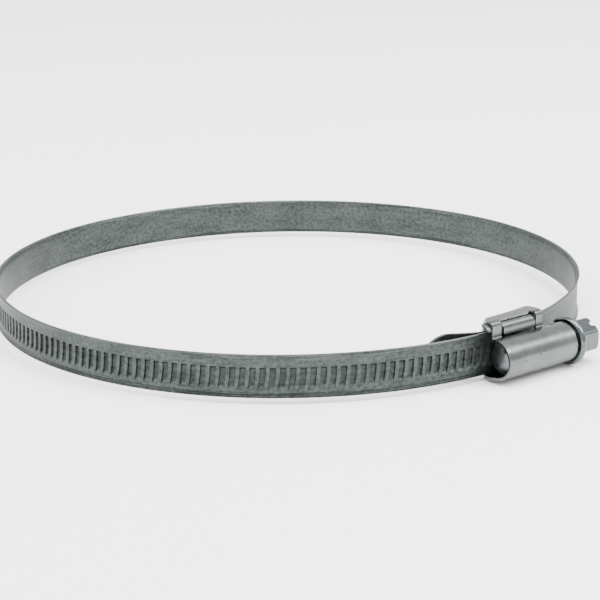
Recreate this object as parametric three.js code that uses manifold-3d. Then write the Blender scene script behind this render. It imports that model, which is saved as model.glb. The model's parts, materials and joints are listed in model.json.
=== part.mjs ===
// Worm-drive hose clamp with a 9 mm band, drawn at 137 mm inside diameter.
// Millimetres, +Z along the hose. The housing sits at -Y and the screw lies along X, its head at +X.
// A place on the ring is given by its angle from -Y towards +X, and a place across the strip by its
// offset outward from the worm end's mid-line and its height above mid-width.

import * as THREE from 'three'
import { mergeVertices } from 'three/addons/utils/BufferGeometryUtils.js'
import Module from 'manifold-3d'

const wasm = await Module()
wasm.setup()

const DEG = Math.PI / 180

// Driving dimensions

const RING_RADIUS = 68.8 // mid-line of the toothed end, from the ring's axis
const BAND_WIDTH = 9
const BAND_THICKNESS = 0.7
const LIP_WIDTH = 1.1 // the part of each edge that is turned outward
const LIP_RISE = 0.4
const LAYER_GAP = 0.3 // between the two layers of band, and between band and saddle

const TOOTH_PITCH = 2
const SLOT_DROP = 0.45 // the slots sit this far below mid-width
const TOOTHED_LENGTH = 168

const TAIL_ANGLE = 7.5 // free end of the toothed strip, under the worm
const WORM_END_ANGLE = 52 // the stiff toothed end reaches this far back from the worm
const LINK_COUNT = 12
const LAST_HINGE_ANGLE = 19.6
const STRIP_TUCK_ANGLE = 4 // the plain strip reaches in under the housing to here
const FIXED_END_GAP = 3 // degrees left open under the housing, where the ring's ends slip
const TONGUE_START_ANGLE = -10
const TONGUE_BEND_ANGLE = -2.4
const TONGUE_DROP = 4.2
const TONGUE_CURVE = 1.1 // 1 would be straight
const LINK_GAP = 0.3
const LINK_STEPS = 6

const SHEET = 0.6 // housing and saddle
const FOLD_CENTRE_DROP = 0.25 // the folds' centre lies this far below the band's edge
const FOLD_CLEARANCE = 0.5 // band's lip to the inside of the folds
const FOLD_START = -2.4 // along the screw, from the point where the worm meets the band
const FOLD_LENGTH = 14.4
const FLAP_HEIGHT = 3.2
const HEM_GAP = 0.25 // under the band's lower edge
const HEM_CORNER_OFFSET = 1.2
const SADDLE_FOOT_RISE = 0.6 // the saddle ends this far above the band's lower edge
const SADDLE_LUG = 0.4 // how far it shows beyond the fold
const SADDLE_SHORTFALL = 0.6 // how far it stops short of the fold's other end
const TAB_LENGTH = 0.9 // below the folds' centre
const TAB_SIDE_GAP = 0.4 // tab to the window's sides
const TAB_FOOT_GAP = 0.3 // tab to the barrel's wall, at least

const BARREL_LENGTH = 19.7
const BARREL_START = -2.5
const BARREL_BORE_RADIUS = 3.75
const BARREL_OPEN_ANGLE = 128 // the barrel's upper wall ends here, from straight outward
const WINDOW_START = 0
const WINDOW_LENGTH = 10
const WINDOW_RISE = 1.2 // the window's upper edge above the folds' centre
const NOTCH_LENGTH = 1.9
const NOTCH_PITCH = 3.2
const NOTCH_DEPTH = 0.5
const NOTCH_GAP = 0.2 // fold to the first notch
const NOTCH_REACH = 1.4 // how far outward past the screw's axis
const NOTCH_END_WALL = 0.1
const CUTTER_REACH = 1.5 // how far cutting boxes stand out of what they cut

const MESH_DEPTH = 0.15 // thread crest into the band's slots
const SCREW_DROP = 0.6 // screw axis below mid-width
const WORM_CLEARANCE = 0.15 // thread crest to barrel bore
const THREAD_DEPTH = 1
const CREST_SHARE = 0.24 // of the pitch
const FLANK_SHARE = 0.2
const WORM_START = -1.2
const WORM_LENGTH = 15.4
const NECK_RADIUS = 2.3
const SHANK_OVERLAP = 0.5 // neck into the worm, so that they join
const COLLAR_RADIUS = 5.2
const COLLAR_LENGTH = 1.6
const COLLAR_ROUND = 0.4
const COLLAR_GAP = 0.6 // barrel's end to collar
const HEX_ACROSS_FLATS = 7
const HEX_LENGTH = 5.4
const HEX_SUNK = 0.2 // into the collar
const HEX_CHAMFER = 0.5
const HEX_TURN = 2 // turns the hexagon and the driver slot about the screw's axis, in degrees
const DRIVER_SLOT_TURN = -62
const DRIVER_SLOT_WIDTH = 1.3
const DRIVER_SLOT_DEPTH = 1.1

// Sizes that follow from them

const SLOT_WIDTH = 0.55 * TOOTH_PITCH
const SLOT_LENGTH = BAND_WIDTH / 2
const SLOT_DEPTH = BAND_THICKNESS / 2
const PLAIN_RADIUS = RING_RADIUS - BAND_THICKNESS - LAYER_GAP
const BARREL_RADIUS = BARREL_BORE_RADIUS + SHEET
const BARREL_END = BARREL_START + BARREL_LENGTH
const WORM_RADIUS = BARREL_BORE_RADIUS - WORM_CLEARANCE
const SCREW_OFFSET = BAND_THICKNESS / 2 - MESH_DEPTH + WORM_RADIUS // outward from the worm end's mid-line
const SCREW_AXIS_RADIUS = RING_RADIUS + SCREW_OFFSET
const LEG_FOOT_HEIGHT = 0.8 * BARREL_BORE_RADIUS - SCREW_DROP // inside the barrel's wall
const WALL_TOP_HEIGHT = BARREL_RADIUS * Math.sin(BARREL_OPEN_ANGLE * DEG) - SCREW_DROP
const FOLD_OUTER_SIDE = BAND_THICKNESS / 2 + LIP_RISE + FOLD_CLEARANCE
const FOLD_INNER_SIDE = -(1.5 * BAND_THICKNESS + 2 * LAYER_GAP) // inside both layers of band
const FOLD_INNER_RADIUS = (FOLD_OUTER_SIDE - FOLD_INNER_SIDE) / 2
const FOLD_CENTRE_OFFSET = (FOLD_OUTER_SIDE + FOLD_INNER_SIDE) / 2
const FOLD_CENTRE_HEIGHT = BAND_WIDTH / 2 - FOLD_CENTRE_DROP
const FOLD_END = FOLD_START + FOLD_LENGTH
const LEAD_ANGLE = Math.atan(TOOTH_PITCH / (2 * Math.PI * (WORM_RADIUS - THREAD_DEPTH / 2)))
const TOOTH_ANGLE = TOOTH_PITCH / RING_RADIUS
const LINK_ANGLE = (360 - WORM_END_ANGLE - LAST_HINGE_ANGLE) / (LINK_COUNT - 1)

// Helpers

function solidOf(geometry) {
  const bare = geometry.index ? geometry.toNonIndexed() : geometry.clone()
  bare.deleteAttribute('normal')
  bare.deleteAttribute('uv')
  const merged = mergeVertices(bare, 1e-4)
  const vertProperties = new Float32Array(merged.attributes.position.array)
  const triVerts = new Uint32Array(merged.index.array)
  return new wasm.Manifold(new wasm.Mesh({ numProp: 3, vertProperties, triVerts }))
}

function geometryOf(solid) {
  const mesh = solid.getMesh()
  const geometry = new THREE.BufferGeometry()
  geometry.setAttribute('position', new THREE.BufferAttribute(new Float32Array(mesh.vertProperties), 3))
  geometry.setIndex(new THREE.BufferAttribute(new Uint32Array(mesh.triVerts), 1))
  return geometry
}

function named(name, geometry, material) {
  const mesh = new THREE.Mesh(geometry, material)
  mesh.name = name
  return mesh
}

function boxBetween(low, high) {
  const box = new THREE.BoxGeometry(high[0] - low[0], high[1] - low[1], high[2] - low[2])
  box.translate((high[0] + low[0]) / 2, (high[1] + low[1]) / 2, (high[2] + low[2]) / 2)
  return box
}

// Extrudes a section, whose x is the offset outward and whose y is the height, along the screw's direction.
function straightAlong(section, start, end) {
  const options = { depth: end - start, bevelEnabled: false, curveSegments: 6 }
  const geometry = new THREE.ExtrudeGeometry(section, options)
  const place = geometry.attributes.position
  for (let i = 0; i < place.count; i += 1) {
    const [offset, height, along] = [place.getX(i), place.getY(i), place.getZ(i)]
    place.setXYZ(i, end - along, -(RING_RADIUS + offset), height)
  }
  return geometry
}

// Extrudes a section round the ring between two angles, in degrees, at a radius that may change with them.
function rolledAlong(section, startAngle, endAngle, radiusAt, steps) {
  const options = { depth: endAngle - startAngle, steps, bevelEnabled: false, curveSegments: 6 }
  const geometry = new THREE.ExtrudeGeometry(section, options)
  const place = geometry.attributes.position
  for (let i = 0; i < place.count; i += 1) {
    const angle = endAngle - place.getZ(i)
    const radius = radiusAt(angle) + place.getX(i)
    const height = place.getY(i)
    place.setXYZ(i, radius * Math.sin(angle * DEG), -radius * Math.cos(angle * DEG), height)
  }
  return geometry
}

const angleAt = (along) => along / RING_RADIUS / DEG

// Thickens an open outline, given as a list of points, into a closed sheet section.
function sheetSection(points, thickness) {
  const sides = [1, -1].map((side) => points.map((point, i) => {
    const before = points[Math.max(i - 1, 0)]
    const after = points[Math.min(i + 1, points.length - 1)]
    const along = after.clone().sub(before).normalize()
    return point.clone().add(new THREE.Vector2(-along.y, along.x).multiplyScalar(side * thickness / 2))
  }))
  return new THREE.Shape([...sides[0], ...sides[1].reverse()])
}

function arcPoints(centreX, centreY, radius, startAngle, endAngle, count) {
  return Array.from({ length: count + 1 }, (_, i) => {
    const angle = (startAngle + (endAngle - startAngle) * i / count) * DEG
    return new THREE.Vector2(centreX + radius * Math.cos(angle), centreY + radius * Math.sin(angle))
  })
}

// The band: one strip, drawn as a stiff toothed end, links that bend where they meet, and a fixed end

const bandSteel = () => new THREE.MeshStandardMaterial({ color: 0xa3a59f, roughness: 0.4, metalness: 1 })

function bandSection() {
  const edge = BAND_WIDTH / 2
  const face = edge - LIP_WIDTH
  const half = BAND_THICKNESS / 2
  const inner = [[LIP_RISE - half, -edge], [-half, -face], [-half, face], [LIP_RISE - half, edge]]
  const outer = inner.map(([offset, height]) => [offset + BAND_THICKNESS, height]).reverse()
  return new THREE.Shape([...inner, ...outer].map(([offset, height]) => new THREE.Vector2(offset, height)))
}

// The strip winds from the plain inner layer under the housing out to the toothed outer layer.
function stripRadius(angle) {
  const share = (angle - LAST_HINGE_ANGLE) / (360 - WORM_END_ANGLE - LAST_HINGE_ANGLE)
  return PLAIN_RADIUS + (RING_RADIUS - PLAIN_RADIUS) * THREE.MathUtils.clamp(share, 0, 1)
}

function slotCutter(angle, radius) {
  const cutter = new THREE.BoxGeometry(SLOT_WIDTH, SLOT_DEPTH + CUTTER_REACH, SLOT_LENGTH)
  const floor = radius + BAND_THICKNESS / 2 - SLOT_DEPTH
  cutter.rotateY(LEAD_ANGLE)
  cutter.translate(0, -(floor + (SLOT_DEPTH + CUTTER_REACH) / 2), -SLOT_DROP)
  cutter.rotateZ(angle * DEG)
  return solidOf(cutter)
}

// One tooth slot lies straight under the worm, and the others follow at the thread's pitch.
function slotAngles(startAngle, endAngle) {
  const pitch = TOOTH_ANGLE / DEG
  const margin = SLOT_WIDTH / RING_RADIUS / DEG
  const firstTooth = 360 + TAIL_ANGLE - TOOTHED_LENGTH / RING_RADIUS / DEG
  const angles = []
  for (let tooth = 360 - Math.ceil(360 / pitch) * pitch; tooth < 360 + TAIL_ANGLE; tooth += pitch) {
    const inside = tooth > startAngle + margin && tooth < endAngle - margin
    if (inside && tooth > firstTooth) {
      angles.push(tooth)
    }
  }
  return angles
}

function bandPiece(startAngle, endAngle, radiusAt, steps) {
  let strip = solidOf(rolledAlong(bandSection(), startAngle, endAngle, radiusAt, steps))
  for (const angle of slotAngles(startAngle, endAngle)) {
    strip = strip.subtract(slotCutter(angle, radiusAt(angle)))
  }
  return geometryOf(strip)
}

function wormEnd() {
  const start = 360 - WORM_END_ANGLE + LINK_GAP / 2 / RING_RADIUS / DEG
  return named('band_worm_end', bandPiece(start, 360 + TAIL_ANGLE, () => RING_RADIUS, 16), bandSteel())
}

// Link 1 hangs on the worm end, and the last one reaches in under the housing.
function bandLink(number) {
  const gap = LINK_GAP / 2 / RING_RADIUS / DEG
  const end = 360 - WORM_END_ANGLE - (number - 1) * LINK_ANGLE
  const start = number < LINK_COUNT ? end - LINK_ANGLE + gap : STRIP_TUCK_ANGLE
  const name = `band_link_${String(number).padStart(2, '0')}`
  return named(name, bandPiece(start, end - gap, stripRadius, LINK_STEPS), bandSteel())
}

// The fixed end of the strip passes between saddle and toothed end, and its tongue bends clear of the ring.
function stripEnd() {
  const radiusAt = (angle) => {
    const share = Math.max(0, (TONGUE_BEND_ANGLE - angle) / (TONGUE_BEND_ANGLE - TONGUE_START_ANGLE))
    return PLAIN_RADIUS - TONGUE_DROP * share ** TONGUE_CURVE
  }
  const end = STRIP_TUCK_ANGLE - FIXED_END_GAP
  const strip = solidOf(rolledAlong(bandSection(), TONGUE_START_ANGLE, end, radiusAt, 8))
  return named('band_fixed_end', geometryOf(strip), bandSteel())
}

// The housing: one sheet, from a flap inside the ring over the band, round the worm and in under the band

const pressedSteel = () => new THREE.MeshStandardMaterial({ color: 0xb9bcc0, roughness: 0.3, metalness: 1 })

const foldRadius = FOLD_INNER_RADIUS + SHEET + LAYER_GAP + SHEET / 2
const legOffset = FOLD_CENTRE_OFFSET + foldRadius
const flapOffset = FOLD_CENTRE_OFFSET - foldRadius
const hemHeight = -(BAND_WIDTH / 2 + HEM_GAP + SHEET / 2)

function upperFoldSection() {
  const legFoot = new THREE.Vector2(legOffset, LEG_FOOT_HEIGHT)
  const points = [legFoot, ...arcPoints(FOLD_CENTRE_OFFSET, FOLD_CENTRE_HEIGHT, foldRadius, 0, 180, 10)]
  points.push(new THREE.Vector2(flapOffset, FOLD_CENTRE_HEIGHT - FLAP_HEIGHT))
  return sheetSection(points, SHEET)
}

function hemSection() {
  const bend = SHEET
  const points = [
    new THREE.Vector2(SCREW_OFFSET - SHEET, -SCREW_DROP - BARREL_RADIUS + SHEET / 2),
    new THREE.Vector2(HEM_CORNER_OFFSET, hemHeight),
    new THREE.Vector2(flapOffset + bend, hemHeight),
    ...arcPoints(flapOffset + bend, hemHeight + bend, bend, 255, 180, 4),
    new THREE.Vector2(flapOffset, hemHeight + FLAP_HEIGHT)
  ]
  return sheetSection(points, SHEET)
}

function barrelSection() {
  const wall = arcPoints(SCREW_OFFSET, -SCREW_DROP, BARREL_RADIUS - SHEET / 2, -100, BARREL_OPEN_ANGLE, 24)
  return sheetSection(wall, SHEET)
}

function housing() {
  const fold = rolledAlong(upperFoldSection(), angleAt(FOLD_START), angleAt(FOLD_END), () => RING_RADIUS, 6)
  const hem = rolledAlong(hemSection(), angleAt(FOLD_START), angleAt(FOLD_END), () => RING_RADIUS, 6)
  const bore = new THREE.CylinderGeometry(BARREL_BORE_RADIUS, BARREL_BORE_RADIUS, BARREL_LENGTH + 2, 48)
  bore.rotateZ(Math.PI / 2)
  bore.translate(BARREL_START + BARREL_LENGTH / 2, -SCREW_AXIS_RADIUS, -SCREW_DROP)
  const legTop = FOLD_CENTRE_HEIGHT + WINDOW_RISE
  const outside = -(RING_RADIUS + legOffset + CUTTER_REACH)
  const inside = -(RING_RADIUS + FOLD_CENTRE_OFFSET)
  const window = boxBetween(
    [WINDOW_START, outside, WALL_TOP_HEIGHT],
    [WINDOW_START + WINDOW_LENGTH, inside, legTop]
  )
  const notchFloor = -SCREW_DROP + BARREL_RADIUS - NOTCH_DEPTH
  const notchStart = FOLD_END + NOTCH_GAP
  const notches = [notchStart, notchStart + NOTCH_PITCH].map((start) => boxBetween(
    [start, -(SCREW_AXIS_RADIUS + NOTCH_REACH), notchFloor],
    [Math.min(start + NOTCH_LENGTH, BARREL_END - NOTCH_END_WALL), inside, legTop]
  ))
  let solid = solidOf(straightAlong(barrelSection(), BARREL_START, BARREL_END))
  solid = solid.add(solidOf(fold)).add(solidOf(hem)).subtract(solidOf(bore)).subtract(solidOf(window))
  for (const notch of notches) {
    solid = solid.subtract(solidOf(notch))
  }
  return named('housing', geometryOf(solid), pressedSteel())
}

// The saddle: a curved plate inside the strip, folded over its upper edge, with a tab in the window

function saddle() {
  const radius = FOLD_INNER_RADIUS + SHEET / 2
  const fold = arcPoints(FOLD_CENTRE_OFFSET, FOLD_CENTRE_HEIGHT, radius, 180, 0, 8)
  const foot = new THREE.Vector2(FOLD_CENTRE_OFFSET - radius, -(BAND_WIDTH / 2 - SADDLE_FOOT_RISE))
  const start = angleAt(FOLD_START - SADDLE_LUG)
  const end = angleAt(FOLD_END - SADDLE_SHORTFALL)
  const plate = rolledAlong(sheetSection([foot, ...fold], SHEET), start, end, () => RING_RADIUS, 6)
  const tabFootHeight = Math.max(FOLD_CENTRE_HEIGHT - TAB_LENGTH, WALL_TOP_HEIGHT + TAB_FOOT_GAP)
  const tabFoot = new THREE.Vector2(FOLD_CENTRE_OFFSET + radius, tabFootHeight)
  const tabStart = angleAt(WINDOW_START + TAB_SIDE_GAP)
  const tabEnd = angleAt(WINDOW_START + WINDOW_LENGTH - TAB_SIDE_GAP)
  const tabSection = sheetSection([...fold.slice(4), tabFoot], SHEET)
  const tab = rolledAlong(tabSection, tabStart, tabEnd, () => RING_RADIUS, 6)
  return named('saddle', geometryOf(solidOf(plate).add(solidOf(tab))), pressedSteel())
}

// The screw: worm, neck, collar and slotted hexagon head in one piece

function wormThread() {
  const stepsPerPitch = 9
  const steps = Math.round(WORM_LENGTH / TOOTH_PITCH * stepsPerPitch)
  const crest = WORM_RADIUS
  const profile = [new THREE.Vector2(0, 0)]
  for (let i = 0; i <= steps; i += 1) {
    profile.push(new THREE.Vector2(crest, WORM_LENGTH * i / steps))
  }
  profile.push(new THREE.Vector2(0, WORM_LENGTH))
  const geometry = new THREE.LatheGeometry(profile, 24)
  const place = geometry.attributes.position
  const crestHalf = CREST_SHARE * TOOTH_PITCH / 2
  const flank = FLANK_SHARE * TOOTH_PITCH
  for (let i = 0; i < place.count; i += 1) {
    const [x, along, z] = [place.getX(i), place.getY(i), place.getZ(i)]
    const radius = Math.hypot(x, z)
    if (radius > 0.1) {
      // a right-hand thread, whose crest faces the band in the slot straight under it
      const turn = Math.atan2(x, z) / (2 * Math.PI) + 0.25
      const phase = (along + WORM_START) / TOOTH_PITCH - turn
      const distance = Math.abs(phase - Math.round(phase)) * TOOTH_PITCH
      const drop = THREE.MathUtils.clamp((distance - crestHalf) / flank, 0, 1) * THREAD_DEPTH
      place.setXYZ(i, x * (crest - drop) / radius, along, z * (crest - drop) / radius)
    }
  }
  return geometry
}

function shankProfile() {
  const neckStart = WORM_LENGTH - SHANK_OVERLAP
  const collarStart = BARREL_END + COLLAR_GAP - WORM_START
  const collarEnd = collarStart + COLLAR_LENGTH
  return [
    [0, neckStart], [NECK_RADIUS, neckStart], [NECK_RADIUS, collarStart],
    [COLLAR_RADIUS - COLLAR_ROUND, collarStart], [COLLAR_RADIUS, collarStart + COLLAR_ROUND],
    [COLLAR_RADIUS, collarEnd - COLLAR_ROUND], [COLLAR_RADIUS - COLLAR_ROUND, collarEnd], [0, collarEnd]
  ].map(([radius, along]) => new THREE.Vector2(radius, along))
}

function hexHead(start) {
  const corner = HEX_ACROSS_FLATS / 2 / Math.cos(30 * DEG)
  const prism = new THREE.CylinderGeometry(corner, corner, HEX_LENGTH, 6)
  prism.rotateY(HEX_TURN * DEG)
  prism.translate(0, start + HEX_LENGTH / 2, 0)
  const flat = HEX_ACROSS_FLATS / 2
  const outside = corner + CUTTER_REACH
  const end = start + HEX_LENGTH
  const cone = new THREE.LatheGeometry([
    [0, start - CUTTER_REACH], [outside, start - CUTTER_REACH],
    [outside, end - HEX_CHAMFER * (outside - flat)], [flat, end], [0, end]
  ].map(([radius, along]) => new THREE.Vector2(radius, along)), 48)
  const cut = new THREE.BoxGeometry(2 * outside, 2 * DRIVER_SLOT_DEPTH, DRIVER_SLOT_WIDTH)
  cut.translate(0, end, 0)
  cut.rotateY(DRIVER_SLOT_TURN * DEG)
  return solidOf(prism).intersect(solidOf(cone)).subtract(solidOf(cut))
}

function wormScrew() {
  const headStart = BARREL_END + COLLAR_GAP + COLLAR_LENGTH - WORM_START - HEX_SUNK
  const shank = solidOf(new THREE.LatheGeometry(shankProfile(), 40))
  const screw = geometryOf(solidOf(wormThread()).add(shank).add(hexHead(headStart)))
  screw.rotateZ(-Math.PI / 2)
  screw.translate(WORM_START, -SCREW_AXIS_RADIUS, -SCREW_DROP)
  const zinc = new THREE.MeshStandardMaterial({ color: 0xc4c8cc, roughness: 0.28, metalness: 1 })
  return named('worm_screw', screw, zinc)
}

// The assembly, moved so that the origin is under the middle of its box

const clamp = new THREE.Group()
clamp.add(housing(), saddle(), stripEnd(), wormScrew(), wormEnd())
for (let number = 1; number <= LINK_COUNT; number += 1) {
  clamp.add(bandLink(number))
}

const group = new THREE.Group()
const extent = new THREE.Box3().setFromObject(clamp)
const middle = extent.getCenter(new THREE.Vector3())
clamp.position.set(-middle.x, -middle.y, -extent.min.z)
group.add(clamp)

export default group
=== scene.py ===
# A worm-drive hose clamp for a hose of 120 to 140 mm, nearly fully open, lying on a pale studio floor.
# Lengths in the sections below are in millimetres, and MM turns them into the frame's metres. A place on
# the clamp is given by where it is along the strip or the screw, its offset outward from the strip's
# mid-line, and its height above the strip's mid-width.

import json
import math

import bmesh
import bpy
from mathutils import Matrix, Vector, noise


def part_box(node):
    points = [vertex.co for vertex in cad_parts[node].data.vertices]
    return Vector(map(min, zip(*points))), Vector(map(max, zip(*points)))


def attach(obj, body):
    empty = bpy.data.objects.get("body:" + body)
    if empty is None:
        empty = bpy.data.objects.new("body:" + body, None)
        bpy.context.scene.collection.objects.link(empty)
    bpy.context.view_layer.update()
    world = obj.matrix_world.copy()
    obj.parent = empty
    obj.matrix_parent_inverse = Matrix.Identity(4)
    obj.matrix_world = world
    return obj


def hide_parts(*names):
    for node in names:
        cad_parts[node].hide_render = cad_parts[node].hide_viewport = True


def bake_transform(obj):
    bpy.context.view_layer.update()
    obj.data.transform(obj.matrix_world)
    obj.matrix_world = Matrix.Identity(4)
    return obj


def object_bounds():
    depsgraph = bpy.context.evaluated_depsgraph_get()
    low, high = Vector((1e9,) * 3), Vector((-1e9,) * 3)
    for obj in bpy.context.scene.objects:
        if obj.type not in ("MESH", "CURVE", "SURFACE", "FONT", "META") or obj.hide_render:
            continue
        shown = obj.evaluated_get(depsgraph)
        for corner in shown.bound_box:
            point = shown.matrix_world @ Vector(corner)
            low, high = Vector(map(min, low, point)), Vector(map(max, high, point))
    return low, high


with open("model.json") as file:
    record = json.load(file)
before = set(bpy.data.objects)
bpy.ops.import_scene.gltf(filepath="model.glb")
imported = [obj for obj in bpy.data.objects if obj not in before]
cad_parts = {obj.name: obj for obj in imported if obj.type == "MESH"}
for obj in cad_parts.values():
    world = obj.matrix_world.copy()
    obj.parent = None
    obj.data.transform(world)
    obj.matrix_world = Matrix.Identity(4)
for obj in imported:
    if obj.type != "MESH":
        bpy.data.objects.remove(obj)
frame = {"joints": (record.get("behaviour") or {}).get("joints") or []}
cad_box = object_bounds()

MM = 0.001
joints = {joint["name"]: joint for joint in frame["joints"]}
ring_centre = Vector(joints["tighten"]["pos_m"])


# Camera and studio. The clamp lies flat, seen from in front and a little above through a long lens.
# It rests on a wide matt floor under a large soft box, with three dimmer panels round it.

CAMERA_DISTANCE = 370.2 * MM
CAMERA_AZIMUTH = math.radians(-37.2)
CAMERA_ELEVATION = math.radians(15.67)
CAMERA_ROLL = math.radians(-0.75)


def compass(azimuth, elevation):
    """The direction to a place seen at that azimuth, from the front, and elevation."""
    flat = math.cos(elevation)
    return Vector((math.sin(azimuth) * flat, -math.cos(azimuth) * flat, math.sin(elevation)))


camera = bpy.data.objects.new("camera", bpy.data.cameras.new("camera"))
bpy.context.scene.collection.objects.link(camera)
bpy.context.scene.camera = camera
away = compass(CAMERA_AZIMUTH, CAMERA_ELEVATION)
roll = Matrix.Rotation(CAMERA_ROLL, 4, "Z")
turned = (-away).to_track_quat("-Z", "Y").to_matrix().to_4x4()
camera.matrix_world = Matrix.Translation(ring_centre + away * CAMERA_DISTANCE) @ turned @ roll
camera.data.lens = 92.5
camera.data.sensor_width = 36
camera.data.shift_x = 0.0193
camera.data.shift_y = -0.0307
camera.data.clip_start = 0.01


class Wire:
    """A socket in a material's node tree. Sums on it add Math nodes."""

    def __init__(self, tree, socket=None):
        self.tree = tree
        self.socket = socket

    def node(self, kind, settings, inputs, output=0):
        made = self.tree.nodes.new(kind)
        for name, value in settings.items():
            if name == "stops":
                ramp = made.color_ramp.elements
                while len(ramp) < len(value):
                    ramp.new(0.5)
                for element, (position, grey) in zip(ramp, value):
                    element.position = position
                    element.color = (grey, grey, grey, 1)
            else:
                setattr(made, name, value)
        for name, value in inputs.items():
            if isinstance(value, Wire):
                self.tree.links.new(value.socket, made.inputs[name])
            else:
                made.inputs[name].default_value = value
        return Wire(self.tree, made.outputs[output] if made.outputs else None)

    def math(self, operation, *values):
        return self.node("ShaderNodeMath", {"operation": operation}, dict(enumerate(values)))

    def __add__(self, other):
        return self.math("ADD", self, other)

    def __radd__(self, other):
        return self.math("ADD", other, self)

    def __sub__(self, other):
        return self.math("SUBTRACT", self, other)

    def __rsub__(self, other):
        return self.math("SUBTRACT", other, self)

    def __mul__(self, other):
        return self.math("MULTIPLY", self, other)

    def __rmul__(self, other):
        return self.math("MULTIPLY", other, self)

    def clamped(self, low, high):
        """0 below low and 1 above high, with a soft ramp between."""
        settings = {"interpolation_type": "SMOOTHSTEP"}
        return self.node("ShaderNodeMapRange", settings, {"Value": self, "From Min": low, "From Max": high})

    def noise(self, scale, detail=2.0, roughness=0.5):
        """Noise from 0 to 1, where this wire is the coordinate and scale says how often it changes."""
        if not isinstance(scale, (int, float)):
            stretched = self.node("ShaderNodeVectorMath", {"operation": "MULTIPLY"}, {0: self, 1: scale})
            return stretched.noise(1.0, detail, roughness)
        inputs = {"Vector": self, "Scale": scale, "Detail": detail, "Roughness": roughness}
        return self.node("ShaderNodeTexNoise", {}, inputs, "Fac")

    def tint(self, dark, light):
        """A colour between two, with this wire as the share of the second."""
        inputs = {"Factor": self, 6: (*dark, 1), 7: (*light, 1)}
        return self.node("ShaderNodeMix", {"data_type": "RGBA"}, inputs, 2)


def new_material(name):
    """An empty material and a wire to its node tree."""
    material = bpy.data.materials.new(name)
    material.use_nodes = True
    material.node_tree.nodes.clear()
    return material, Wire(material.node_tree)


def finish_material(tree, constants, varying):
    """A Principled surface from its constant sockets and the wires of what changes over it."""
    surface = tree.node("ShaderNodeBsdfPrincipled", {}, {**constants, **varying})
    tree.node("ShaderNodeOutputMaterial", {}, {"Surface": surface})


def add_mesh(name, points, faces):
    """A mesh object from points in metres in the frame."""
    mesh = bpy.data.meshes.new(name)
    mesh.from_pydata([tuple(point) for point in points], [], faces)
    mesh.update()
    made = bpy.data.objects.new(name, mesh)
    bpy.context.scene.collection.objects.link(made)
    return made


def add_panel(name, azimuth, elevation, distance, width, height, power):
    """A soft box that hangs in that direction from the clamp and faces it."""
    light = bpy.data.lights.new(name, "AREA")
    light.shape = "RECTANGLE"
    light.size = width
    light.size_y = height
    light.energy = power
    panel = bpy.data.objects.new(name, light)
    bpy.context.scene.collection.objects.link(panel)
    direction = compass(math.radians(azimuth), math.radians(elevation))
    panel.location = ring_centre + direction * distance
    panel.rotation_mode = "QUATERNION"
    panel.rotation_quaternion = direction.to_track_quat("Z", "Y")


add_panel("overhead_box", azimuth=-20, elevation=80, distance=1.6, width=1.5, height=1.1, power=66)
add_panel("left_panel", azimuth=-115, elevation=32, distance=1.5, width=0.5, height=1.0, power=13)
add_panel("front_panel", azimuth=34, elevation=44, distance=1.6, width=0.8, height=0.5, power=26)
add_panel("right_panel", azimuth=60, elevation=38, distance=1.5, width=0.35, height=0.9, power=4)

world = bpy.data.worlds.new("studio")
bpy.context.scene.world = world
world.use_nodes = True
world.node_tree.nodes.clear()
sky = Wire(world.node_tree)
sky_direction = sky.node("ShaderNodeTexCoord", {}, {}, "Generated")
sky_height = sky.node("ShaderNodeSeparateXYZ", {}, {0: sky_direction}, 2)
sky_stops = [(0.0, 0.82), (0.1, 0.86), (0.5, 1.0)]
brightness = sky.node("ShaderNodeValToRGB", {"stops": sky_stops}, {0: sky_height})
backdrop = sky.node("ShaderNodeBackground", {}, {"Color": brightness, "Strength": 1.85})
sky.node("ShaderNodeOutputWorld", {}, {"Surface": backdrop})

FLOOR_HALF_WIDTH = 8.0
corners = [(-1, -1), (1, -1), (1, 1), (-1, 1)]
floor_points = [(x * FLOOR_HALF_WIDTH, y * FLOOR_HALF_WIDTH, cad_box[0].z) for x, y in corners]
floor = add_mesh("floor", floor_points, [(0, 1, 2, 3)])
matt, tree = new_material("matt_floor")
floor_place = tree.node("ShaderNodeTexCoord", {}, {}, "Object")
shade = floor_place.noise(3.0).tint((0.89, 0.89, 0.89), (0.92, 0.92, 0.92))
finish_material(tree, {"Roughness": 0.9}, {"Base Color": shade})
floor.data.materials.append(matt)


# The band. One strip of rolled steel 9 mm wide, zinc plated and left dull, its edges turned a little outward
# and its teeth pressed into the outer face as pockets. The real strip bends evenly as the ring closes, and
# the frame has twelve hinges for that. Each stretch of strip between two teeth is made as one piece over one
# hinge.

BAND_THICKNESS = 0.7
LIP_WIDTH = 1.1
LIP_RISE = 0.4
CREASE_RADIUS = 0.25
TOOTH_PITCH = 2.0
TOOTHED_LENGTH = 168.0
POCKET_DEPTH = 0.45
POCKET_HALF_WIDTH = 0.56
POCKET_TOP = 1.8
POCKET_BOTTOM = -2.7
POCKET_WALL = 0.14
POCKET_RAMP = 0.75
POCKET_SKEW = 0.4
POCKET_LEAN = 0.103
POCKET_BOW = 0.03
EDGE_ROUND = 0.12
TAIL_CELL = 4
TAIL_RADIUS = 4.5
TIP_BLUNTING = 0.15
LIP_FADE = 0.3
HINGE_SPREAD = 0.45
LAST_REACH = 0.58

hinges = [joint for joint in frame["joints"] if joint["name"].startswith("bend_")]


def ring_place(point):
    """Angle in degrees from the front towards the screw's head, and distance in mm from the ring's axis."""
    arm = Vector(point) - ring_centre
    return math.degrees(math.atan2(arm.x, -arm.y)) % 360, arm.to_2d().length / MM


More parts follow.
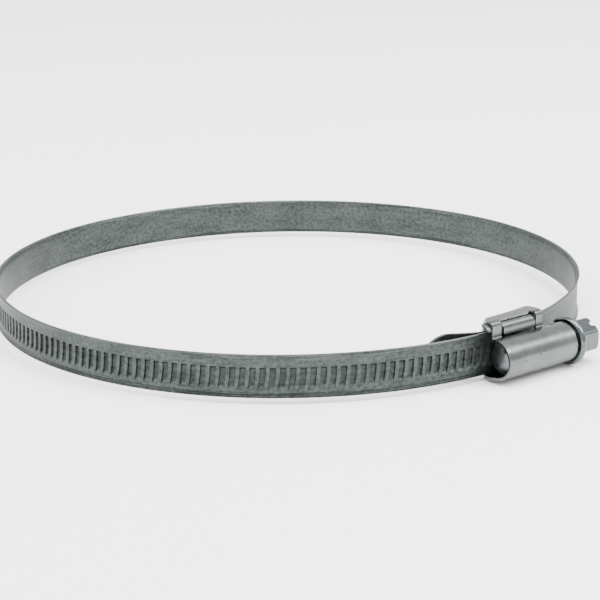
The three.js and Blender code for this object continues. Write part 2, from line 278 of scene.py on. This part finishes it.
first_angle, ring_radius = ring_place(hinges[0]["pos_m"])
last_angle, plain_radius = ring_place(hinges[-1]["pos_m"])
link_angle = (first_angle - last_angle) / (len(hinges) - 1)
tooth_angle = math.degrees(TOOTH_PITCH / ring_radius)
band_low, band_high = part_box("band_worm_end")
half_width = (band_high.z - band_low.z) / MM / 2


def ring_point(angle, radius, height):
    turn = math.radians(angle)
    return ring_centre + Vector((radius * math.sin(turn), -radius * math.cos(turn), height)) * MM


def strip_radius(angle):
    """The strip winds from the plain layer under the housing out to the toothed one over it."""
    share = (angle - last_angle) / (first_angle - last_angle)
    return plain_radius + (ring_radius - plain_radius) * min(max(share, 0), 1)


def smooth(low, high, value):
    share = min(max((value - low) / (high - low), 0), 1)
    return share * share * (3 - 2 * share)


def lip(height):
    """How far outward the strip's edges are turned at that height."""
    past = abs(height) - (half_width - LIP_WIDTH)
    return LIP_RISE / LIP_WIDTH * (past + math.hypot(past, CREASE_RADIUS)) / 2


def pocket(along, height):
    """Depth of a tooth pocket, whose foot rises in a ramp towards the strip's lower edge."""
    side = smooth(-POCKET_WALL / 2, POCKET_WALL / 2, POCKET_HALF_WIDTH - abs(along))
    top = smooth(0, POCKET_WALL, POCKET_TOP - height)
    foot = min(max((height - POCKET_BOTTOM - POCKET_SKEW * along) / POCKET_RAMP, 0), 1)
    return POCKET_DEPTH * min(side, top, foot)


def spread(low, high, count):
    return [low + (high - low) * i / count for i in range(count + 1)]


# Heights of the outer face's rows, close together at the lips, creases and pocket ends.
face_edge = half_width - EDGE_ROUND
crease = half_width - LIP_WIDTH
lip_rows = spread(crease - 0.25, crease + 0.25, 4) + [crease + 0.55, face_edge - 0.12]
outer_rows = [-face_edge] + [-row for row in reversed(lip_rows)] + [-3.0]
outer_rows += spread(POCKET_BOTTOM, POCKET_BOTTOM + POCKET_RAMP, 4) + spread(-1.6, POCKET_TOP - 0.5, 5)
outer_rows += spread(POCKET_TOP - 0.2, POCKET_TOP, 4) + [POCKET_TOP + 0.1, 2.4] + lip_rows + [face_edge]
inner_rows = [face_edge] + lip_rows[::-1] + spread(2.4, -2.4, 6) + [-row for row in lip_rows] + [-face_edge]

# One loop round the strip's section. Each point is how far outward it is, its height, and whether it is on
# the outer face.
half_thick = BAND_THICKNESS / 2
section = [(half_thick, row, True) for row in outer_rows]
section += [(half_thick - EDGE_ROUND, half_width, False), (EDGE_ROUND - half_thick, half_width, False)]
section += [(-half_thick, row, False) for row in inner_rows]
section += [(EDGE_ROUND - half_thick, -half_width, False), (half_thick - EDGE_ROUND, -half_width, False)]

wall = [POCKET_HALF_WIDTH + share * POCKET_WALL for share in (0.7, 0.4, 0.0, -0.4, -0.7)]
TOOTH_STEPS = [-TOOTH_PITCH / 2] + [-step for step in wall] + [0.0] + wall[::-1]
PLAIN_STEPS = [-TOOTH_PITCH / 2, 0.0]
first_toothed_cell = TAIL_CELL + 1 - round(TOOTHED_LENGTH / TOOTH_PITCH)


def strip_piece(name, low, high, radius_at, tip=None):
    """A stretch of strip between two ridges, counted in teeth from the one under the worm."""
    columns = []
    for cell in range(round(low + 0.5), round(high + 0.5)):
        toothed = first_toothed_cell <= cell <= TAIL_CELL
        columns += [(cell, step, toothed) for step in (TOOTH_STEPS if toothed else PLAIN_STEPS)]
    columns.append((columns[-1][0], TOOTH_PITCH / 2, False))
    points, strip_places = [], []
    for cell, step, toothed in columns:
        narrowing = 1.0
        if tip is not None:
            from_tip = max(abs(cell * TOOTH_PITCH + step - tip * TOOTH_PITCH), TIP_BLUNTING)
            narrowing = math.sqrt(1 - (1 - min(from_tip / TAIL_RADIUS, 1)) ** 2)
        for thick, row, outer in section:
            depth = pocket(step, row) if outer and toothed else 0.0
            shift = POCKET_LEAN * row - POCKET_BOW * row * row
            angle = 360 + (cell + (step + shift) / TOOTH_PITCH) * tooth_angle
            radius = radius_at(angle) + thick + lip(row) * smooth(LIP_FADE, 1, narrowing) - depth
            points.append(ring_point(angle, radius, row * narrowing))
            strip_places.append((cell * TOOTH_PITCH + step + shift, row, depth / POCKET_DEPTH))
    loop = len(section)
    faces = []
    for column in range(len(columns) - 1):
        for i in range(loop):
            j = (i + 1) % loop
            here, beyond = column * loop, (column + 1) * loop
            faces.append((here + i, here + j, beyond + j, beyond + i))
    faces.append(tuple(reversed(range(loop))))
    faces.append(tuple(range((len(columns) - 1) * loop, len(columns) * loop)))
    made = add_mesh(name, points, faces)
    made.data.shade_smooth()
    made.data.set_sharp_from_angle(angle=math.radians(50))
    stored = made.data.attributes.new("strip_place", "FLOAT_VECTOR", "POINT")
    stored.data.foreach_set("vector", [value for strip_place in strip_places for value in strip_place])
    made.data.materials.append(band_steel)
    return made


def dull_zinc():
    """Dull zinc on rolled strip: fine lines along it, a soft mottle, painted shade in the pockets and on the
    lower lip, and a painted highlight on the pockets' feet.
    """
    material, tree = new_material("dull_zinc_strip")
    place = tree.node("ShaderNodeAttribute", {"attribute_name": "strip_place"}, {}, "Vector")
    across = place.node("ShaderNodeSeparateXYZ", {}, {0: place}, 1)
    depth = place.node("ShaderNodeSeparateXYZ", {}, {0: place}, 2)
    height = across.math("ABSOLUTE", across)
    on_lip = height.clamped(crease - 0.1, crease + 0.2)
    lines = place.noise((0.06, 7.0, 0.0), 3.0, 0.6)
    mottle = place.noise((1.1, 1.3, 0.0), 4.0, 0.6)
    grain = place.noise((7.0, 9.0, 0.0), 2.0, 0.6)
    patches = place.noise((0.12, 0.3, 0.0), 2.0)
    wear = height.clamped(half_width - 0.22, half_width - 0.02)
    shade = 0.5 + (mottle - 0.5) * 1.2 + (grain - 0.5) * 0.9 + (patches - 0.5) * 0.5
    # Painted shade just under each pocket's top wall, where the wall shades the pocket's floor.
    pocket_top_shade = depth.clamped(0.1, 0.5) * across.clamped(POCKET_TOP - 0.5, POCKET_TOP - 0.38)
    # Painted highlight on the ramp at each pocket's foot, which faces up towards the overhead light.
    foot_painted_highlight = depth * (0 - across).clamped(-POCKET_BOTTOM - POCKET_RAMP, -POCKET_BOTTOM - 0.3)
    # Painted shade on the lower turned-out lip, which faces down, away from the light.
    lower_lip_shade = (0 - across).clamped(crease - 0.05, crease + 0.3)
    # Deeper in a pocket the colour is darker, as painted shade in the recess.
    shade = shade + (lines - 0.5) * (0.45 + on_lip * 2.2) + wear * 0.3 - depth * 0.1
    shade = shade - pocket_top_shade * 0.7 + foot_painted_highlight * 0.25 - lower_lip_shade * 0.26
    bump_height = (lines - 0.5) * (0.5 + on_lip * 1.6) + (grain - 0.5) * 0.7 + (mottle - 0.5) * 0.6
    bump = tree.node("ShaderNodeBump", {}, {"Strength": 0.35, "Distance": 0.03 * MM, "Height": bump_height})
    varying = {
        "Base Color": shade.clamped(0.0, 1.0).tint((0.021, 0.026, 0.0245), (0.094, 0.107, 0.102)),
        "Roughness": 0.44 + mottle * 0.16 + depth * 0.08 - wear * 0.1,
        "Normal": bump,
    }
    finish_material(tree, {"Metallic": 1.0}, varying)
    return material


band_steel = dull_zinc()


def ridge_at(angle):
    """The ridge between two teeth that is nearest an angle, counted in teeth from the one under the worm."""
    return math.floor((angle - 360) / tooth_angle) + 0.5


edges = [ridge_at(first_angle + link_angle * (0.5 - i)) for i in range(len(hinges))]
edges.append(ridge_at(last_angle - link_angle * LAST_REACH))

worm_end = strip_piece("band_toothed_end", edges[0], TAIL_CELL + 0.5, strip_radius, TAIL_CELL + 0.5)
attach(worm_end, "worm_end")
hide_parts("band_worm_end")

for i, hinge in enumerate(hinges):
    angle, radius = ring_place(hinge["pos_m"])
    piece = strip_piece(f"band_strip_{i + 1:02d}", edges[i + 1], edges[i], strip_radius)
    reach = link_angle * HINGE_SPREAD
    start, end = ring_point(angle + reach, radius, 0), ring_point(angle - reach, radius, 0)
    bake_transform(piece)
    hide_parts(f"band_{hinge['child']}")

# The strip's other end passes under the worm and the saddle, and its tongue turns in clear of the ring.

TONGUE_DROP = 4.2
TONGUE_START = -10.0
TONGUE_BEND = -2.4
TONGUE_CURVE = 1.1
TONGUE_HIDDEN_END = 2.0


def tongue_radius(angle):
    share = max(0, (TONGUE_BEND + 360 - angle) / (TONGUE_BEND - TONGUE_START))
    return plain_radius - TONGUE_DROP * share ** TONGUE_CURVE


tongue_ridge = ridge_at(360 + TONGUE_START)
hidden_ridge = ridge_at(360 + TONGUE_HIDDEN_END)
tongue = strip_piece("band_tongue", tongue_ridge, hidden_ridge, tongue_radius, tongue_ridge)
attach(tongue, "housing")
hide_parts("band_fixed_end")


# The housing. One piece of 0.6 mm sheet, pressed and bright zinc plated: a flap inside the ring, a fold over
# the band, a leg with a window, the barrel rolled round the worm, and a hem back under the band. Its inner
# side follows the ring, and its outer side is straight along the screw.

SHEET = 0.6
HOUSING_START = -2.5
FOLD_END = 12.0
EDGE_TRIM = 2.8
TRIM_START = 0.6
TRIM_SPREAD = 2.6
FLAP_OFFSET = -2.85
LEG_OFFSET = 2.45
FOLD_TOP = 6.9
FLAP_FOOT = 1.05
BARREL_MID_RADIUS = 4.05
BACK_BEND = 2.7
FRONT_BEND = 0.85
TIGHT_BEND = 0.6
SHOULDER_ANGLE = 97
UNDERSIDE_ANGLE = -78.7
LEG_FOOT = 3.3
HEM_HEIGHT = -4.97
HEM_CORNER = 2.2
HEM_BEND = 2.5
HEM_FOOT = -1.85
WINDOW_START = 0.0
WINDOW_END = 10.0
LUG_START = 14.1
LUG_END = 15.2
LUG_STEP = (-0.12, 0.22)
SHEAR_ROUGHNESS = 0.07
SHEAR_RIPPLE = 2.3
EDGE_HOLD = 0.25
CUT_HOLD = 0.1
RIM_ROUND = 0.07

turn_joint = joints["screw_turn"]
screw_radius = ring_place(turn_joint["pos_m"])[1]
screw_offset = screw_radius - ring_radius
screw_height = (turn_joint["pos_m"][2] - ring_centre.z) / MM
barrel_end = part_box("housing")[1].x / MM - ring_centre.x / MM


def trimmed(along, offset):
    """The sheets' left edge slants away inside the ring, where the flap and the saddle are narrower."""
    trim = EDGE_TRIM * smooth(0, TRIM_SPREAD, TRIM_START - offset)
    return FOLD_END - (FOLD_END - along) * (1 - trim / (FOLD_END - HOUSING_START))


def housing_point(along, offset, height, follow):
    """A point on a plate that follows the ring's curve by that share, and else runs straight."""
    radius = ring_radius + offset
    turn = along / ring_radius
    rolled = Vector((radius * math.sin(turn), -radius * math.cos(turn), height))
    return ring_centre + rolled.lerp(Vector((along, -radius, height)), 1 - follow) * MM


def follow_share(offset):
    return smooth(-LEG_OFFSET, LEG_OFFSET, -offset)


def bent_path(corners, step=14, gap=0.7):
    """A line through corners, each an offset, a height and a bend radius, with bends as arcs."""
    points = []
    for i, (offset, height, radius) in enumerate(corners):
        corner = Vector((offset, height))
        if radius == 0:
            new = [corner]
        else:
            before = (Vector(corners[i - 1][:2]) - corner).normalized()
            after = (Vector(corners[i + 1][:2]) - corner).normalized()
            half = before.angle(after) / 2
            centre = corner + (before + after).normalized() * (radius / math.sin(half))
            start = corner + before * (radius / math.tan(half)) - centre
            sweep = start.angle_signed(corner + after * (radius / math.tan(half)) - centre)
            count = max(2, round(abs(math.degrees(sweep)) / step))
            new = [centre + (Matrix.Rotation(-sweep * j / count, 2) @ start) for j in range(count + 1)]
        if points and (new[0] - points[-1]).length > gap:
            pieces = math.ceil((new[0] - points[-1]).length / gap)
            points += [points[-1].lerp(new[0], j / pieces) for j in range(1, pieces)]
        if points and (new[0] - points[-1]).length < 0.05:
            new = new[1:]
        points += new
    return points


def tangent_corner(first, second):
    """Where the tangents at two angles round the barrel meet."""
    middle, half = math.radians((first + second) / 2), math.radians((first - second) / 2)
    reach = BARREL_MID_RADIUS / math.cos(half)
    offset = screw_offset + reach * math.cos(middle)
    return offset, screw_height + reach * math.sin(middle), BARREL_MID_RADIUS


def barrel_point(angle):
    turn = math.radians(angle)
    outward = Vector((math.cos(turn), math.sin(turn)))
    return Vector((screw_offset, screw_height)) + outward * BARREL_MID_RADIUS


def settle(made):
    """Turns the modifiers into mesh, with smooth shading that breaks at sharp edges."""
    graph = bpy.context.evaluated_depsgraph_get()
    final = bpy.data.meshes.new_from_object(made.evaluated_get(graph))
    made.modifiers.clear()
    made.data = final
    final.shade_smooth()
    final.set_sharp_from_angle(angle=math.radians(42))


def sheet_object(name, rows, columns, place_at, is_kept, material):
    """A sheet from a grid of rows and columns, rounded and thickened, without the cells that aren't kept."""
    points = [place_at(row, column) for column in range(len(columns)) for row in range(len(rows))]
    faces = []
    for column in range(len(columns) - 1):
        for row in range(len(rows) - 1):
            if is_kept(row, column):
                here, beyond = column * len(rows) + row, (column + 1) * len(rows) + row
                faces.append((here, here + 1, beyond + 1, beyond))
    made = add_mesh(name, points, faces)
    shape = bmesh.new()
    shape.from_mesh(made.data)
    loose = [vertex for vertex in shape.verts if not vertex.link_faces]
    bmesh.ops.delete(shape, geom=loose, context="VERTS")
    shape.to_mesh(made.data)
    shape.free()
    rounding = made.modifiers.new("rounding", "SUBSURF")
    rounding.levels = rounding.render_levels = 2
    thickness = made.modifiers.new("sheet", "SOLIDIFY")
    thickness.thickness = SHEET * MM
    thickness.offset = 0
    thickness.use_even_offset = True
    rim = made.modifiers.new("rim", "BEVEL")
    rim.width = RIM_ROUND * MM
    rim.segments = 2
    rim.angle_limit = math.radians(50)
    settle(made)
    made.data.materials.append(material)
    return made


def bright_zinc(name, dark, light, gloss):
    """Bright zinc on pressed or turned steel: faint lines along the screw, soft clouds and small pits."""
    material, tree = new_material(name)
    place = tree.node("ShaderNodeTexCoord", {}, {}, "Object")
    lines = place.noise((60.0, 2600.0, 2600.0), 3.0, 0.6)
    clouds = place.noise(260.0, 3.0, 0.55)
    grain = place.noise(3200.0, 2.0, 0.6)
    spots = place.noise(700.0, 1.0).clamped(0.69, 0.74)
    shade = 0.5 + (clouds - 0.5) * 1.1 + (lines - 0.5) * 0.5 + (grain - 0.5) * 0.35 - spots * 0.5
    bump_height = (lines - 0.5) * 0.25 + (grain - 0.5) * 0.25 + (clouds - 0.5) * 1.0 - spots * 0.8
    bump = tree.node("ShaderNodeBump", {}, {"Strength": 0.22, "Distance": 0.02 * MM, "Height": bump_height})
    varying = {
        "Base Color": shade.clamped(0.0, 1.0).tint(dark, light),
        "Roughness": gloss + (clouds - 0.5) * 0.14 + (lines - 0.5) * 0.1 + spots * 0.15,
        "Normal": bump,
    }
    finish_material(tree, {"Metallic": 1.0}, varying)
    return material


housing_zinc = bright_zinc("bright_zinc_sheet", (0.098, 0.106, 0.102), (0.156, 0.167, 0.162), 0.24)

housing_path = bent_path([
    (FLAP_OFFSET, FLAP_FOOT, 0), (FLAP_OFFSET, FOLD_TOP, BACK_BEND), (LEG_OFFSET, FOLD_TOP, FRONT_BEND),
    (LEG_OFFSET, LEG_FOOT, TIGHT_BEND),
    tangent_corner(SHOULDER_ANGLE, 0), tangent_corner(0, UNDERSIDE_ANGLE),
    (HEM_CORNER, HEM_HEIGHT, HEM_BEND), (FLAP_OFFSET, HEM_HEIGHT, TIGHT_BEND), (FLAP_OFFSET, HEM_FOOT, 0)
])
leg_row = min(i for i, point in enumerate(housing_path) if abs(point.x - LEG_OFFSET) < 0.02)
window_first = max(i for i in range(leg_row) if abs(housing_path[i].y - FOLD_TOP) < 0.02)
barrel_top = barrel_point(SHOULDER_ANGLE)
shoulder = min(i for i, point in enumerate(housing_path) if (point - barrel_top).length < 0.3)
hem_row = min(i for i, point in enumerate(housing_path) if i > shoulder + 8 and point.x < screw_offset - 1.0)

# Places of the columns along the screw. A column close to an edge or a cut keeps it straight when rounded.
housing_columns = [HOUSING_START, HOUSING_START + EDGE_HOLD] + spread(-1.8, -0.4, 2)
housing_columns += [WINDOW_START - CUT_HOLD] + spread(WINDOW_START, WINDOW_END, 26)
housing_columns += [WINDOW_END + CUT_HOLD, 10.6, 11.2, FOLD_END - EDGE_HOLD, FOLD_END, FOLD_END + CUT_HOLD]
housing_columns += [13.1, LUG_START - CUT_HOLD, LUG_START, (LUG_START + LUG_END) / 2]
housing_columns += [LUG_END, LUG_END + CUT_HOLD, 16.4, barrel_end - EDGE_HOLD, barrel_end]
fold_end_column = housing_columns.index(FOLD_END)


def place_housing(row, column):
    point = housing_path[row].copy()
    along = housing_columns[column]
    if column > fold_end_column and row < shoulder:
        point = housing_path[shoulder] + Vector(LUG_STEP) * (shoulder - row)
        return housing_point(along, point.x, point.y, 0)
    if row == window_first and WINDOW_START <= along <= WINDOW_END:
        point.x += SHEAR_ROUGHNESS * noise.noise(Vector((along * SHEAR_RIPPLE, 0.5, 0.5))) * 2
    if along < FOLD_END:
        along = trimmed(along, point.x)
    return housing_point(along, point.x, point.y, follow_share(point.x))


def keep_housing(row, column):
    along = (housing_columns[column] + housing_columns[column + 1]) / 2
    if along > FOLD_END:
        on_lug = LUG_START < along < LUG_END and row >= shoulder - 2
        return (on_lug or row >= shoulder) and row < hem_row
    in_window = WINDOW_START < along < WINDOW_END and window_first <= row < shoulder
    return not in_window


housing = sheet_object(
    "housing_sheet", housing_path, housing_columns, place_housing, keep_housing,
    housing_zinc)
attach(housing, "housing")
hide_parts("housing")


# The saddle. A plate of the same sheet between the housing and the band, folded over the band's upper edge.
# Its tab shows in the housing's window, and locks the two together.

SADDLE_OFFSET = -1.95
SADDLE_TOP = 6.28
SADDLE_FOOT = -3.9
SADDLE_BEND = 1.95
TAB_OFFSET = 2.42
TAB_BEND = 1.4
TAB_FOOT = 3.95
LUG_FOOT = 5.0
LUG_LENGTH = 1.1
TAB_LEFT_GAP = 0.8
TAB_RIGHT_GAP = 0.12
TAB_CUT = 0.75
TAB_HOLD = 0.15
SADDLE_SHORTFALL = 0.6
SADDLE_START = HOUSING_START - LUG_LENGTH
TAB_START = WINDOW_START + TAB_LEFT_GAP
TAB_END = WINDOW_END - TAB_RIGHT_GAP

saddle_path = bent_path([
    (SADDLE_OFFSET, SADDLE_FOOT, 0), (SADDLE_OFFSET, SADDLE_TOP, SADDLE_BEND),
    (TAB_OFFSET, SADDLE_TOP, TAB_BEND), (TAB_OFFSET, TAB_FOOT, 0)
], 14, 0.6)
tab_row = min(i for i, point in enumerate(saddle_path) if point.x > TAB_OFFSET - TAB_CUT)
saddle_columns = [SADDLE_START, SADDLE_START + 0.2, HOUSING_START - CUT_HOLD, HOUSING_START]
saddle_columns += spread(-2.0, -0.2, 2) + [TAB_START - TAB_HOLD]
saddle_columns += spread(TAB_START, TAB_END, 12)
saddle_columns += [TAB_END + TAB_HOLD, 10.6, FOLD_END - SADDLE_SHORTFALL]


def place_saddle(row, column):
    point = saddle_path[row]
    along = trimmed(saddle_columns[column], point.x)
    return housing_point(along, point.x, point.y, follow_share(point.x))


def keep_saddle(row, column):
    along = (saddle_columns[column] + saddle_columns[column + 1]) / 2
    if along < HOUSING_START:
        first, last = saddle_path[row], saddle_path[row + 1]
        return first.x > 0 and last.y > LUG_FOOT
    return row < tab_row or TAB_START < along < TAB_END


saddle = sheet_object(
    "saddle_sheet", saddle_path, saddle_columns, place_saddle, keep_saddle, housing_zinc)
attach(saddle, "housing")
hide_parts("saddle")


# The screw. Turned from one bar and bright zinc plated: a worm with a right-hand thread, a neck, a collar
# with a round rim that bears on the barrel's end, and a 7 mm hexagon head slotted for a flat screwdriver.

WORM_RADIUS = 3.6
WORM_START = -1.2
WORM_END = 14.2
THREAD_DEPTH = 1.0
CREST_HALF = 0.24
FLANK = 0.4
NECK_RADIUS = 2.3
COLLAR_START = 17.8
COLLAR_LENGTH = 1.5
COLLAR_RADIUS = 5.2
HEX_ACROSS_FLATS = 7.0
HEX_END = 24.6
HEX_CORNER_ANGLE = 88
HEX_CORNER_ROUNDING = 0.12
HEX_BLANK_RADIUS = 4.2
HEX_CHAMFER = 0.75
COLLAR_RECESS = 0.35
SLOT_ANGLE = 62
SLOT_WIDTH = 1.3
SLOT_DEPTH = 1.1
CUTTER_HALF_LENGTH = 6
CUTTER_OVERRUN = 1
THREAD_STEPS = 146

screw_zinc = bright_zinc("bright_zinc_screw", (0.082, 0.093, 0.094), (0.135, 0.151, 0.152), 0.22)
# The worm has the screw's zinc, painted lighter to stand in for light its end lacks deep in the barrel, and
# rougher.
brightened_worm_zinc = bright_zinc("worm_zinc_painted_lighter", (0.11, 0.124, 0.127), (0.2, 0.22, 0.224), 0.4)


def screw_point(along, radius, angle):
    """A point at that angle round the screw's axis, from straight outward towards upward."""
    offset = screw_offset + radius * math.cos(angle)
    return housing_point(along, offset, screw_height + radius * math.sin(angle), 0)


def turned_piece(name, profile, radius_at, sides, material=screw_zinc):
    """A piece turned about the screw's axis, from a closed profile of places along it and radii."""
    points, faces = [], []
    for along, radius in profile:
        points += [screw_point(along, radius_at(along, radius, math.tau * i / sides), math.tau * i / sides)
                   for i in range(sides)]
    for ring in range(len(profile) - 1):
        for i in range(sides):
            j = (i + 1) % sides
            here, beyond = ring * sides, (ring + 1) * sides
            faces.append((here + i, here + j, beyond + j, beyond + i))
    faces.append(tuple(reversed(range(sides))))
    faces.append(tuple(range((len(profile) - 1) * sides, len(profile) * sides)))
    made = add_mesh(name, points, faces)
    made.data.shade_smooth()
    made.data.set_sharp_from_angle(angle=math.radians(38))
    made.data.materials.append(material)
    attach(made, "screw")
    return made


def thread_radius(along, radius, angle):
    """The thread's crest faces the band in the pocket straight under the worm."""
    turn = math.atan2(math.cos(angle), math.sin(angle)) / math.tau + 0.25
    phase = along / TOOTH_PITCH - turn
    distance = abs(phase - round(phase)) * TOOTH_PITCH
    cut = smooth(CREST_HALF, CREST_HALF + FLANK, distance)
    return radius - cut * THREAD_DEPTH * min(1, radius / WORM_RADIUS)


# The worm's domed end, its thread, and its step down to the neck.
worm_dome = [(0, 0.2), (0.02, 1.0), (0.12, 1.8), (0.45, 2.6)]
worm_profile = [(WORM_START + depth, radius) for depth, radius in worm_dome]
worm_profile += [(along, WORM_RADIUS) for along in spread(WORM_START + 1.0, WORM_END - 0.1, THREAD_STEPS)]
worm_profile += [(WORM_END, 3.3), (WORM_END, 2.6)]
turned_piece("screw_worm", worm_profile, thread_radius, 72, brightened_worm_zinc)

rim_radius = COLLAR_LENGTH / 2
rim_centre = COLLAR_START + rim_radius
collar_profile = [(WORM_END - 0.3, NECK_RADIUS), (COLLAR_START + 0.2, NECK_RADIUS)]
collar_profile += [(COLLAR_START + COLLAR_RECESS, 2.6)]
collar_profile += [(COLLAR_START + COLLAR_RECESS, COLLAR_RADIUS - 2 * rim_radius)]
collar_profile += [
    (rim_centre - rim_radius * math.cos(turn), COLLAR_RADIUS - rim_radius + rim_radius * math.sin(turn))
    for turn in (math.radians(angle) for angle in range(-30, 216, 12))
]
collar_profile += [(COLLAR_START + COLLAR_LENGTH - COLLAR_RECESS, COLLAR_RADIUS - 2 * rim_radius)]
collar_profile += [(COLLAR_START + 1.2, 3.0)]
turned_piece("screw_collar", collar_profile, lambda along, radius, angle: radius, 96)


def hex_radius(along, radius, angle):
    """A hexagon with slightly rounded corners, cut down by the chamfer's cone near its end."""
    from_flat = (math.degrees(angle) - HEX_CORNER_ANGLE) % 60 - 30
    flat = HEX_ACROSS_FLATS / 2 / math.cos(math.radians(from_flat))
    corner = HEX_ACROSS_FLATS / 2 / math.cos(math.radians(30)) - HEX_CORNER_ROUNDING
    return min(flat, corner, radius)


chamfer_start = HEX_END - HEX_CHAMFER
head_profile = [(COLLAR_START + 0.6, 3.4), (COLLAR_START + 0.6, HEX_BLANK_RADIUS)]
head_profile += [(along, HEX_BLANK_RADIUS) for along in spread(COLLAR_START + 1.0, chamfer_start, 6)]
head_profile += [(chamfer_start + 0.15 * i, HEX_BLANK_RADIUS - 0.12 * i) for i in range(1, 5)]
head_profile += [(HEX_END, 3.35), (HEX_END, 3.1)]
head = turned_piece("screw_head", head_profile, hex_radius, 180)

# The driver's slot is milled with a round bottom, by a cutter that runs out past both sides of the head.
slot_half = SLOT_WIDTH / 2
slot_outline = [(HEX_END + CUTTER_OVERRUN, -slot_half)]
slot_outline += [
    (HEX_END - SLOT_DEPTH + slot_half - slot_half * math.cos(turn), slot_half * math.sin(turn))
    for turn in (math.radians(angle) for angle in range(-90, 91, 15))
]
slot_outline += [(HEX_END + CUTTER_OVERRUN, slot_half)]
slot_points = []
slot_turn = math.radians(SLOT_ANGLE)
for end in (-CUTTER_HALF_LENGTH, CUTTER_HALF_LENGTH):
    for along, side in slot_outline:
        offset = end * math.cos(slot_turn) - side * math.sin(slot_turn)
        height = end * math.sin(slot_turn) + side * math.cos(slot_turn)
        slot_points.append(housing_point(along, screw_offset + offset, screw_height + height, 0))
count = len(slot_outline)
slot_faces = [(i, (i + 1) % count, count + (i + 1) % count, count + i) for i in range(count)]
slot_faces += [tuple(reversed(range(count))), tuple(range(count, 2 * count))]
cutter = add_mesh("slot_cutter", slot_points, slot_faces)
for solid in (cutter, head):
    shape = bmesh.new()
    shape.from_mesh(solid.data)
    bmesh.ops.recalc_face_normals(shape, faces=shape.faces)
    shape.to_mesh(solid.data)
    shape.free()
cut = head.modifiers.new("driver_slot", "BOOLEAN")
cut.operation = "DIFFERENCE"
cut.solver = "EXACT"
cut.object = cutter
soften = head.modifiers.new("soften", "BEVEL")
soften.width = 0.06 * MM
soften.segments = 2
soften.angle_limit = math.radians(50)
settle(head)
bpy.data.objects.remove(cutter)
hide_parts("worm_screw")
